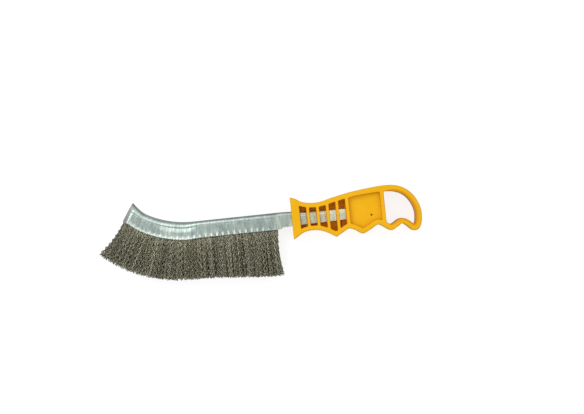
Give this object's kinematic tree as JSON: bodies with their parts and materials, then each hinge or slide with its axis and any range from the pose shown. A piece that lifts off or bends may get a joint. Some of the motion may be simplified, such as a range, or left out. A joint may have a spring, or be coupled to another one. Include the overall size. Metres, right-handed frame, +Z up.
{
  "type": "hand wire brush",
  "caption": "Knife-shaped hand wire brush: crimped steel wire in a steel channel that curves up at the tip, on an open-ribbed plastic handle with finger grooves and a hanging loop.",
  "frame": {"origin": "on the surface the brush lies on, under the middle of its bounding box", "axes": "+X along the tang towards the handle's loop, +Y from the wires towards the channel's back, +Z up through the handle's thickness"},
  "size_m": [0.267, 0.072, 0.018],
  "materials": {
    "handle_plastic": "moulded, softly glossy",
    "galvanised_sheet": "galvanised, faintly streaked",
    "core_steel": "drawn wire",
    "brush_wire": "crimped, dark drawn wire"
  },
  "bodies": {
    "root": {"handle": "handle_plastic", "channel": "galvanised_sheet", "core_wire": "core_steel", "wire_bundle_01": "brush_wire", "wire_bundle_02": "brush_wire", "wire_bundle_03": "brush_wire", "wire_bundle_04": "brush_wire", "wire_bundle_05": "brush_wire", "wire_bundle_06": "brush_wire", "wire_bundle_07": "brush_wire", "wire_bundle_08": "brush_wire", "wire_bundle_09": "brush_wire", "wire_bundle_10": "brush_wire", "wire_bundle_11": "brush_wire", "wire_bundle_12": "brush_wire", "wire_bundle_13": "brush_wire", "wire_bundle_14": "brush_wire", "wire_bundle_15": "brush_wire", "wire_bundle_16": "brush_wire", "wire_bundle_17": "brush_wire", "wire_bundle_18": "brush_wire"}
  },
  "joints": []
}
